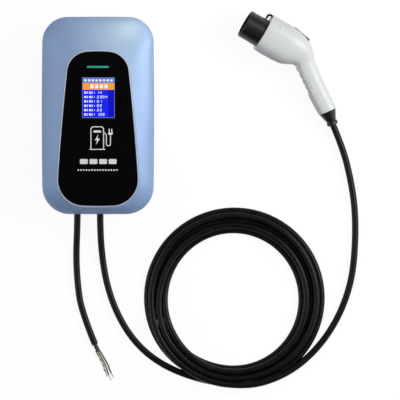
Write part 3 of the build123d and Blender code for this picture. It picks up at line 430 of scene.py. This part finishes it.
black = paint_colour(20, 20, 22)
finishes = {
    "cover_paint": metallic_paint("cover_paint", paint_colour(142, 168, 214), paint_colour(162, 186, 230)),
    "housing_plastic": moulded("housing_plastic", paint_colour(66, 70, 78), 0.55, 0.8 * mm, 0.05 * mm),
    "panel_gloss": moulded("panel_gloss", paint_colour(5, 5, 7), 0.09, 30 * mm, 0.01 * mm, 0.3, 0.25),
    "trim_silver": metal("trim_silver", paint_colour(226, 236, 252), 0.42, metallic=0.35),
    "screen_glass": moulded("screen_glass", paint_colour(14, 16, 60), 0.12, 20 * mm, 0.005 * mm, 0.2, 0.3),
    "seal_rubber": rubber("seal_rubber", black, 0.6),
    "screw_steel": metal("screw_steel", paint_colour(190, 192, 196), 0.32),
    "bracket_steel": metal("bracket_steel", paint_colour(176, 180, 184), 0.42, (1.0, 8.0, 1.0), 1.6 * mm),
    "board_green": circuit_board("board_green"),
    "terminal_plastic": moulded("terminal_plastic", paint_colour(70, 140, 80), 0.45),
    "relay_plastic": moulded("relay_plastic", paint_colour(34, 36, 40), 0.4),
    "supply_can": metal("supply_can", paint_colour(186, 188, 190), 0.36, (1.0, 6.0, 1.0)),
    "sensor_plastic": moulded("sensor_plastic", paint_colour(50, 78, 148), 0.42),
    "header_plastic": moulded("header_plastic", paint_colour(226, 222, 206), 0.45),
    "gland_nylon": moulded("gland_nylon", paint_colour(30, 31, 33), 0.46, 0.5 * mm, 0.03 * mm),
    "cable_sheath": rubber("cable_sheath", paint_colour(11, 11, 12), 0.36),
    "sleeve_grey": moulded("sleeve_grey", paint_colour(52, 54, 58), 0.5),
    "core_green_yellow": striped(
        "core_green_yellow", paint_colour(60, 150, 60), paint_colour(222, 214, 70), 7 * mm,
    ),
    "core_blue": moulded("core_blue", paint_colour(86, 110, 160), 0.38),
    "core_brown": moulded("core_brown", paint_colour(128, 70, 44), 0.38),
    "copper_tips": metal("copper_tips", paint_colour(206, 150, 124), 0.34, (1.0, 1.0, 1.0), 0.3 * mm),
    "gun_white": moulded("gun_white", paint_colour(232, 232, 233), 0.36, 0.7 * mm, 0.012 * mm, 0.03),
    "gun_black": moulded("gun_black", paint_colour(26, 26, 28), 0.34, 0.7 * mm, 0.02 * mm),
    "button_grey": moulded("button_grey", paint_colour(74, 76, 80), 0.5, 0.5 * mm, 0.04 * mm),
    "contact_metal": metal("contact_metal", paint_colour(214, 204, 172), 0.24),
    "spring_steel": metal("spring_steel", paint_colour(176, 178, 182), 0.26),
}
slot_of_node = {row["node"]: row["material_slot"] for row in frame["record"]["subparts"]}
for name, node in nodes.items():
    node.data.materials.clear()
    node.data.materials.append(finishes[slot_of_node[name]])


def add_piece(name, mesh_or_curve, slot, body=set_body):
    """Puts a new piece in the scene, with its finish, on the body that carries it."""
    made = put_in_scene(name, mesh_or_curve)
    finish_piece(made, slot, body)
    return made


def finish_piece(piece, slot, body=set_body):
    """Gives a piece a finish, which is the record's slot too where it has one, and lets it ride."""
    piece.data.materials.clear()
    piece.data.materials.append(finishes[slot])
    slot in slot_of_node.values()
    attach(piece, body)


# The two free cables

finish_piece(charging_cable, "cable_sheath")
finish_piece(supply_cable, "cable_sheath")
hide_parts("charging_cable_lead", "charging_cable_coil", "charging_cable_tail")
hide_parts("input_lead")


# Stripped end of the supply cable: cores that wander a little, with splayed strands

thin_ring_steps, thin_line_steps = 3, 8
core_diameter = 3.0 * mm
core_wander = 0.7 * mm
strand_radius = 0.18 * mm
strand_count = 9
strand_length = 11.0 * mm
strand_shortest = 0.7
strand_splay = 1.3 * mm
strand_rest = (1, 4)
strand_bow = (-0.4, 0.6)
core_start_pitch = 3.3 * mm
sleeve_length = 14.0 * mm
core_routes = {
    "core_earth": [(0.0066, -0.4440, 0.0036), (0.0135, -0.4615, 0.0016)],
    "core_neutral": [(0.0104, -0.4436, 0.0036), (0.0196, -0.4680, 0.0016)],
    "core_live": [(0.0134, -0.4410, 0.0036), (0.0236, -0.4635, 0.0016)],
}


def thin_tubes(name, lines, radius, slot):
    """Smooth thin tubes, each past a few places, as one piece."""
    return add_piece(name, tube_curve(name, lines, radius, thin_ring_steps, thin_line_steps), slot)


def make_stripped_end():
    """The cores as they leave the inner sleeve, and the bare strands at their ends."""
    rng = random.Random(4)
    sheath_cut = Vector(input_route[-1])
    run = (sheath_cut - Vector(input_route[-2])).normalized()
    across = Vector((-run.y, run.x, 0))
    sleeve_end = sheath_cut + run * sleeve_length
    pieces = []
    strands = []
    for order, (name, route) in enumerate(core_routes.items()):
        start = sleeve_end + across * ((order - 1) * core_start_pitch) - run * core_diameter
        end = Vector(route[-1])
        aim = (end - Vector(route[-2])).normalized()
        side = Vector((-aim.y, aim.x, 0)) * core_wander
        middle = (Vector(route[0]) + end) / 2
        places = [start, Vector(route[0]), middle + side, (middle + end) / 2 - side, end]
        core = thin_tubes(name + "_insulation", [places], core_diameter / 2, slot_of_node[name])
        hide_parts(name)
        pieces.append(core)
        for _ in range(strand_count):
            root = end + Vector([rng.uniform(-1, 1) * core_diameter / 4 for _ in range(3)])
            spread = Vector([rng.uniform(-1, 1) * strand_splay for _ in range(2)] + [0])
            tip = end + aim * strand_length * rng.uniform(strand_shortest, 1.0) + spread
            root.z = max(root.z, 2 * strand_radius)
            tip.z = rng.uniform(*strand_rest) * strand_radius
            half_way = (root + tip) / 2 + spread * rng.uniform(*strand_bow)
            strands.append([root - aim * strand_radius, half_way, tip])
    copper = thin_tubes("copper_strands", strands, strand_radius, "copper_tips")
    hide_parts("core_ends")
    return pieces + [copper, nodes["input_inner_sleeve"]]


stripped_pieces = make_stripped_end()


# Flat print and screen content: shapes drawn on a plane, each a little proud of it

corner_steps = 4
mitre_limit = 0.3


def rounded_bar(left, right, low, high, corner):
    """The outline of a bar with round corners."""
    outline = []
    for centre_x, centre_y, first in (
        (right - corner, high - corner, 0),
        (left + corner, high - corner, 90),
        (left + corner, low + corner, 180),
        (right - corner, low + corner, 270),
    ):
        for step in range(corner_steps + 1):
            angle = math.radians(first + 90 * step / corner_steps)
            outline.append((centre_x + corner * math.cos(angle), centre_y + corner * math.sin(angle)))
    return outline


def stroke(points, width):
    """The outline of a line of even width along some points."""
    places = [Vector(point) for point in points]
    left_side = []
    right_side = []
    for index, place in enumerate(places):
        before = places[max(index - 1, 0)]
        after = places[min(index + 1, len(places) - 1)]
        arrive = (place - before).normalized() if index else (after - place).normalized()
        leave = (after - place).normalized() if index < len(places) - 1 else arrive
        normal = Vector((-(arrive + leave).y, (arrive + leave).x)).normalized()
        reach = width / 2 / max(mitre_limit, normal.dot(Vector((-arrive.y, arrive.x))))
        left_side.append(tuple(place + normal * reach))
        right_side.append(tuple(place - normal * reach))
    return left_side, right_side


class Print:
    """Flat shapes that lie on the front, as one thin mesh."""

    def __init__(self, height, thickness):
        self.height = height
        self.thickness = thickness
        self.mesh = bmesh.new()

    def shape(self, outline):
        corners = [self.mesh.verts.new((x, y, self.height)) for x, y in outline]
        self.mesh.faces.new(corners)

    def line(self, points, width):
        left_side, right_side = stroke(points, width)
        lefts = [self.mesh.verts.new((x, y, self.height)) for x, y in left_side]
        rights = [self.mesh.verts.new((x, y, self.height)) for x, y in right_side]
        for index in range(len(points) - 1):
            self.mesh.faces.new((rights[index], rights[index + 1], lefts[index + 1], lefts[index]))

    def made(self, name, slot):
        """Turns the shapes to face outwards and gives them their thickness."""
        bmesh.ops.recalc_face_normals(self.mesh, faces=self.mesh.faces)
        self.mesh.normal_update()
        flat = [face for face in self.mesh.faces if face.normal.z < 0]
        bmesh.ops.reverse_faces(self.mesh, faces=flat)
        made = bpy.data.meshes.new(name)
        self.mesh.to_mesh(made)
        self.mesh.free()
        piece = add_piece(name, made, slot)
        solid = piece.modifiers.new("thickness", "SOLIDIFY")
        solid.thickness = self.thickness
        solid.offset = -1
        return piece


finishes["print_white"] = moulded("print_white", paint_colour(240, 242, 244), 0.45, 0.3 * mm, 0.01 * mm, 0.05)
finishes["print_teal"] = moulded("print_teal", paint_colour(24, 168, 150), 0.45, 0.3 * mm, 0.01 * mm, 0.1)
finishes["lit_blue"] = glowing("lit_blue", paint_colour(18, 36, 236), 1.0)
finishes["lit_deep_blue"] = glowing("lit_deep_blue", paint_colour(8, 12, 196), 1.0)
finishes["lit_header"] = glowing("lit_header", paint_colour(86, 120, 226), 1.0)
finishes["lit_orange"] = glowing("lit_orange", paint_colour(248, 160, 44), 1.0)
finishes["lit_white"] = glowing("lit_white", paint_colour(236, 240, 250), 1.0)
finishes["lit_edge"] = glowing("lit_edge", paint_colour(120, 136, 176), 0.8)

_, panel_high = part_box("front_panel")
print_rise = 0.06 * mm
print_height = panel_high.z + print_rise
print_thickness = 0.1 * mm

# The photograph's pixels at the frame's origin, as read on the flat panel and on the gun
panel_zero_pixel = (98.5, 115.0)
gun_zero_pixel = (98.0, 115.5)


def in_metres(place, zero_pixel):
    """A place that was read off the photograph, in metres."""
    return ((place[0] - zero_pixel[0]) * metres_per_pixel, (zero_pixel[1] - place[1]) * metres_per_pixel)


def on_panel(place):
    """A place on the front panel, from the photograph's pixels."""
    return in_metres(place, panel_zero_pixel)


def arc(middle, radius, first, last, steps=8):
    """Places along an arc, in the photograph's pixels."""
    places = []
    for step in range(steps + 1):
        angle = math.radians(first + (last - first) * step / steps)
        places.append((middle[0] + radius * math.cos(angle), middle[1] - radius * math.sin(angle)))
    return places


# Pictogram of a charging post, in the photograph's pixels
line_width = 0.95 * metres_per_pixel
body_left, body_right, body_top, body_foot = 91.6, 104.2, 126.4, 148.4
body_corner = 2.6
round_steps, plug_steps = 4, 10
base_left, base_right, base_level = 90.0, 105.9, 148.9
slot_left, slot_right, slot_top, slot_foot = 94.0, 101.7, 130.0, 132.2
bolt = [(98.9, 133.8), (95.3, 139.9), (97.7, 139.9), (96.5, 144.4), (100.6, 138.2), (98.1, 138.2)]
hose_from, hose_elbow, hose_foot_level = (104.6, 131.8), (107.0, 134.6), 143.4
hose_bend, hose_top_level = 2.05, 135.2
plug_middle, plug_radius = (111.1, 132.2), 2.6
prong_offset, prong_top_level = 1.3, 128.3
slot_corner, key_corner, dash_corner, status_corner = 0.8, 1.0, 0.4, 0.9
key_count, key_left, key_pitch, key_width, key_top, key_foot = 4, 80.6, 9.6, 7.8, 158.6, 163.6
dash_left, dash_right, dash_count, dash_top, dash_foot = 78.0, 119.4, 15, 168.9, 170.3
dash_share = 0.62
status_left, status_right, status_top, status_foot = 87.5, 109.5, 65.6, 67.6


def panel_bar(sheet, left, right, top, foot, corner):
    """A bar with round corners, in the photograph's pixels."""
    low_x, high_y = on_panel((left, top))
    high_x, low_y = on_panel((right, foot))
    sheet.shape(rounded_bar(low_x, high_x, low_y, high_y, corner * metres_per_pixel))


def make_pictogram():
    """A charging post with its hose and plug, the keys and dashes under it, and the status bar."""
    sheet = Print(print_height, print_thickness)
    outline = [(body_left, body_foot)]
    outline += arc((body_left + body_corner, body_top + body_corner), body_corner, 180, 90, round_steps)
    outline += arc((body_right - body_corner, body_top + body_corner), body_corner, 90, 0, round_steps)
    outline.append((body_right, body_foot))
    sheet.line([on_panel(place) for place in outline], line_width)
    sheet.line([on_panel((base_left, base_level)), on_panel((base_right, base_level))], line_width)
    panel_bar(sheet, slot_left, slot_right, slot_top, slot_foot, slot_corner)
    sheet.shape([on_panel(place) for place in bolt])
    hose = [hose_from, hose_elbow]
    bend_middle = (hose_elbow[0] + hose_bend, hose_foot_level)
    hose += arc(bend_middle, hose_bend, 180, 360)
    hose.append((hose_elbow[0] + 2 * hose_bend, hose_top_level))
    sheet.line([on_panel(place) for place in hose], line_width)
    sheet.shape([on_panel(place) for place in arc(plug_middle, plug_radius, 180, 360, plug_steps)])
    for side in (-1, 1):
        x = plug_middle[0] + side * prong_offset
        sheet.line([on_panel((x, plug_middle[1])), on_panel((x, prong_top_level))], line_width)
    for index in range(key_count):
        left = key_left + index * key_pitch
        panel_bar(sheet, left, left + key_width, key_top, key_foot, key_corner)
    pitch = (dash_right - dash_left) / dash_count
    for index in range(dash_count):
        left = dash_left + index * pitch
        panel_bar(sheet, left, left + pitch * dash_share, dash_top, dash_foot, dash_corner)
    sheet.made("panel_print", "print_white")
    status = Print(print_height, print_thickness)
    panel_bar(status, status_left, status_right, status_top, status_foot, status_corner)
    status.made("status_bar", "print_teal")


# Screen content: a header, a band and six rows of plain blocks and digits, as shares of the screen
screen_low, screen_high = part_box("display_screen")
screen_width = 58.3 * mm
screen_height = 72.7 * mm
screen_middle_x = 1.15 * mm
screen_rise = 1.25 * mm
screen_middle_y = (screen_low.y + screen_high.y) / 2 + screen_rise
screen_face = screen_high.z
screen_layer = 0.03 * mm
screen_border = 0.015
header_top, header_foot, band_foot = 0.012, 0.135, 0.305
side_field_left = 0.80
field_corner, mark_corner = 0.1 * mm, 0.5 * mm
header_marks = {"count": 8, "first": 0.06, "pitch": 0.115, "width": 0.07, "top": 0.045, "foot": 0.1}
band_marks = {"count": 4, "first": 0.25, "pitch": 0.145, "width": 0.10, "top": 0.172, "foot": 0.27}
band_mark_corner = 1.2 * mm
row_values = ["14", "2304", "01", "02", "23", "109"]
row_first, row_pitch, row_height = 0.375, 0.108, 0.052
label_count, label_first, label_pitch = 2, 0.06, 0.15
label_stem_width, label_blocks_left, label_blocks_right, label_half_gap = 0.055, 0.07, 0.115, 0.006
colon_left, colon_right, colon_places, colon_half_height = 0.365, 0.385, (0.28, 0.72), 0.008
colon_corner = 0.3 * mm
digit_first, digit_pitch, digit_width, digit_line = 0.46, 0.085, 0.045, 0.9 * mm
segment_shapes = {
    "top": ((0.0, 1.0), (1.0, 1.0)),
    "upper_left": ((0.0, 0.5), (0.0, 1.0)),
    "upper_right": ((1.0, 0.5), (1.0, 1.0)),
    "middle": ((0.0, 0.5), (1.0, 0.5)),
    "lower_left": ((0.0, 0.0), (0.0, 0.5)),
    "lower_right": ((1.0, 0.0), (1.0, 0.5)),
    "foot": ((0.0, 0.0), (1.0, 0.0)),
}
digit_segments = {
    "0": ("top", "upper_left", "upper_right", "lower_left", "lower_right", "foot"),
    "1": ("upper_right", "lower_right"),
    "2": ("top", "upper_right", "middle", "lower_left", "foot"),
    "3": ("top", "upper_right", "middle", "lower_right", "foot"),
    "4": ("upper_left", "upper_right", "middle", "lower_right"),
    "9": ("top", "upper_left", "upper_right", "middle", "lower_right", "foot"),
}


def on_screen(x_share, y_share):
    """A place on the screen, from shares of its width and of its height downwards."""
    x = screen_middle_x + (x_share - 0.5) * screen_width
    y = screen_middle_y + (0.5 - y_share) * screen_height
    return x, y


def screen_bar(sheet, left, right, top, foot, corner=mark_corner):
    """A bar with round corners, from shares of the screen."""
    low_x, high_y = on_screen(left, top)
    high_x, low_y = on_screen(right, foot)
    sheet.shape(rounded_bar(low_x, high_x, low_y, high_y, corner))


def screen_digit(sheet, digit, left, top):
    """One plain digit, drawn with straight segments."""
    for name in digit_segments[digit]:
        ends = []
        for x_share, y_share in segment_shapes[name]:
            ends.append(on_screen(left + x_share * digit_width, top + (1 - y_share) * row_height))
        sheet.line(ends, digit_line)


def screen_row(sheet, top, value):
    """Two label blocks, a colon and a number."""
    foot = top + row_height
    middle = (top + foot) / 2
    for index in range(label_count):
        left = label_first + index * label_pitch
        screen_bar(sheet, left, left + label_stem_width, top, foot)
        blocks = left + label_blocks_left, left + label_blocks_right
        screen_bar(sheet, *blocks, top, middle - label_half_gap)
        screen_bar(sheet, *blocks, middle + label_half_gap, foot)
    for share in colon_places:
        dot = top + share * row_height
        screen_bar(sheet, colon_left, colon_right, dot - colon_half_height, dot + colon_half_height, colon_corner)
    for index, digit in enumerate(value):
        screen_digit(sheet, digit, digit_first + index * digit_pitch, top)


def mark_row(sheet, marks, corner=mark_corner):
    """Even blocks in one line, in place of words."""
    for index in range(marks["count"]):
        left = marks["first"] + index * marks["pitch"]
        screen_bar(sheet, left, left + marks["width"], marks["top"], marks["foot"], corner)


def lit_piece(sheet, name, finish):
    """A lit part of the screen: it has the screen's slot and a finish of its own."""
    piece = sheet.made(name, "screen_glass")
    piece.data.materials[0] = finishes[finish]


def make_screen():
    """Lit fields, one a hair above the other, and the white blocks and digits on them."""
    left_edge, right_edge, foot_edge = screen_border, 1 - screen_border, 1 - screen_border
    fields = (
        ("lit_edge", "screen_frame", 0.0, 1.0, 0.0, 1.0),
        ("lit_blue", "screen_field", left_edge, right_edge, band_foot, foot_edge),
        ("lit_deep_blue", "screen_side", side_field_left, right_edge, band_foot, foot_edge),
        ("lit_header", "screen_header", left_edge, right_edge, header_top, header_foot),
        ("lit_orange", "screen_band", left_edge, right_edge, header_foot, band_foot),
    )
    for order, (finish, name, *edges) in enumerate(fields):
        sheet = Print(screen_face + (order + 1) * screen_layer, screen_layer)
        screen_bar(sheet, *edges, field_corner)
        lit_piece(sheet, name, finish)
    sheet = Print(screen_face + (len(fields) + 1) * screen_layer, screen_layer)
    mark_row(sheet, header_marks)
    mark_row(sheet, band_marks, band_mark_corner)
    for row, value in enumerate(row_values):
        screen_row(sheet, row_first + row * row_pitch - row_height / 2, value)
    lit_piece(sheet, "screen_marks", "lit_white")


# Gun: moulded ridges beside the grip, a raised dot and the cap over the latch's pin

ridge_radius = 0.85 * mm
ridge_sink = 0.35 * mm
ridges = {
    "grip_ridge_inner": [
        (295.9, 65.2), (298.8, 68.6), (304.4, 76.6), (308.5, 84.6), (310.9, 89.4), (313.6, 95.6),
    ],
    "grip_ridge_outer": [(300.2, 65.2), (306.4, 76.4), (310.5, 82.7), (313.0, 89.0), (316.0, 95.0)],
}
dot_place, dot_radius, dot_rise = (316.4, 96.8), 1.6 * mm, 0.5 * mm
beside_pin, pin_end_depth = (283.4, 27.6), 1.2 * mm
cap_radius, cap_sink, cap_over_pin = 4.4 * mm, 1.0 * mm, 1.12
dome_columns, dome_rows = 28, 14
above_everything = 0.3


def shells_from_above():
    """The gun's two shells, ready to be met by a line straight down."""
    corners = []
    faces = []
    for name in ("gun_shell_left", "gun_shell_right"):
        first = len(corners)
        mesh = nodes[name].data
        corners += [nodes[name].matrix_world @ corner.co for corner in mesh.vertices]
        faces += [[first + index for index in face.vertices] for face in mesh.polygons]
    return BVHTree.FromPolygons(corners, faces)


def on_gun(tree, place):
    """A place on the shells' upper side, from the photograph's pixels, with the way that it faces."""
    start = Vector((*in_metres(place, gun_zero_pixel), above_everything))
    hit, normal, _, _ = tree.ray_cast(start, Vector((0, 0, -1)))
    return hit, normal if normal.z > 0 else -normal


def dome(name, middle, facing, radius, rise, slot):
    """A low round rise on a surface."""
    mesh = bmesh.new()
    bmesh.ops.create_uvsphere(mesh, u_segments=dome_columns, v_segments=dome_rows, radius=radius)
    turn = facing.to_track_quat("Z", "Y").to_matrix().to_4x4()
    flat = Matrix.Diagonal((1.0, 1.0, rise / radius, 1.0))
    bmesh.ops.transform(mesh, matrix=Matrix.Translation(middle) @ turn @ flat, verts=mesh.verts)
    made = bpy.data.meshes.new(name)
    mesh.to_mesh(made)
    mesh.free()
    for face in made.polygons:
        face.use_smooth = True
    return add_piece(name, made, slot)


def make_pin_cap(tree):
    """A moulded cap over the latch pin's end, as high as the end asks."""
    pin = nodes["latch_pivot_pin"]
    corners = [pin.matrix_world @ corner.co for corner in pin.data.vertices]
    highest = max(corner.z for corner in corners)
    end = [corner for corner in corners if corner.z > highest - pin_end_depth]
    _, facing = on_gun(tree, beside_pin)
    middle = sum(end, Vector()) / len(end) - facing * cap_sink
    reach = max((corner - middle).dot(facing) for corner in end)
    dome("pin_cap", middle, facing, cap_radius, reach * cap_over_pin, "gun_white")


def make_gun_details():
    """The ridges and the dot lie on the shells, which carry them."""
    tree = shells_from_above()
    for name, places in ridges.items():
        line = []
        for place in places:
            hit, facing = on_gun(tree, place)
            line.append(tuple(hit - facing * ridge_sink))
        thin_tubes(name, [line], ridge_radius, "gun_white")
    hit, facing = on_gun(tree, dot_place)
    dome("raised_dot", hit, facing, dot_radius, dot_rise, "gun_white")
    make_pin_cap(tree)


# Studio: floor, world and lamps

floor_half_side = 4.0
floor_drop = 0.3 * mm
floor_glow = (0.93, 0.93, 0.93, 1.0)
floor_under_glow = (0.10, 0.10, 0.10, 1.0)
floor_reflected = paint_colour(56, 58, 62)
no_light = (0.0, 0.0, 0.0, 1.0)
lamps = (
    # name, place, what it points at, side in metres, watts, spread in degrees, colour
    ("key_lamp", (1.6, 0.32, 1.15), (0.12, -0.05, 0.03), 0.9, 16.4, 180, (0.97, 1.0, 1.0)),
    ("corner_lamp", (0.16, 0.50, 0.42), (0.08, 0.13, 0.07), 0.12, 0.06, 34, (1.0, 0.93, 0.50)),
)

# How bright the walls and the ceiling are, and between which directions each brightness changes
left_level, right_level, side_span = 1.75, 1.62, (-0.9, 0.9)
foot_level, foot_span = 0.0, (-0.6, 0.0)
head_level, head_span = 0.12, (0.1, 0.6)
ceiling_level, ceiling_span = 0.04, (0.80, 0.96)
wall_colour = (0.97, 1.0, 1.03, 1.0)
head_wall_colour = (1.02, 1.0, 0.90, 1.0)


def make_floor():
    """A pale table. It shows white with a faint shadow, and sends less light back up."""
    mesh = bpy.data.meshes.new("floor")
    half = floor_half_side
    corners = [(-half, -half, 0), (half, -half, 0), (half, half, 0), (-half, half, 0)]
    mesh.from_pydata(corners, [], [(0, 1, 2, 3)])
    floor = put_in_scene("floor", mesh)
    floor.location.z = -floor_drop
    finish = Finish("floor")
    camera_ray, glossy_ray, through_ray = (
        finish.node("ShaderNodeLightPath", output=f"Is {kind} Ray") for kind in ("Camera", "Glossy", "Transmission")
    )
    seen = camera_ray + glossy_ray + through_ray
    floor.data.materials.append(finish.done(
        base_color=finish.colours(seen, floor_reflected, floor_under_glow),
        emission_color=finish.colours(seen, no_light, floor_glow),
        emission_strength=1.0,
        roughness=0.9,
        specular_ior_level=0.0,
    ))


class WorldLight(Finish):
    """The same shader maths for the surroundings."""

    def __init__(self, name):
        self.world = bpy.data.worlds.new(name)
        self.world.use_nodes = True
        self.tree = self.world.node_tree
        self.tree.nodes.clear()

    def place(self):
        return self.node("ShaderNodeTexCoord", output="Generated")


def make_world():
    """Walls that are bright at both sides, dark at the foot and dim at the head, under a dark ceiling."""
    finish = WorldLight("studio")
    sides = finish.span(finish.axis("X"), left_level, right_level, *side_span)
    foot = finish.span(finish.axis("Y"), foot_level, 1.0, *foot_span)
    head = finish.span(finish.axis("Y"), 1.0, head_level, *head_span)
    ceiling = finish.span(finish.axis("Z"), 1.0, ceiling_level, *ceiling_span)
    tint = finish.span(finish.axis("Y"), 0.0, 1.0, *head_span)
    light = finish.node("ShaderNodeBackground", inputs={
        "Color": finish.colours(tint, wall_colour, head_wall_colour),
        "Strength": sides * foot * head * ceiling,
    })
    finish.node("ShaderNodeOutputWorld", inputs={"Surface": light})
    bpy.context.scene.world = finish.world


def make_lamps():
    """A large lamp to the right, and a small one near the box's upper right corner."""
    for name, place, aim, side, power, spread, colour in lamps:
        light = bpy.data.lights.new(name, "AREA")
        light.shape = "SQUARE"
        light.size = side
        light.energy = power
        light.spread = math.radians(spread)
        light.color = colour
        lamp = put_in_scene(name, light)
        lamp.location = place
        lamp.rotation_euler = (Vector(aim) - Vector(place)).to_track_quat("-Z", "Y").to_euler()


make_pictogram()
make_screen()
make_gun_details()
make_floor()
make_world()
make_lamps()
bpy.context.scene.view_settings.view_transform = "Standard"
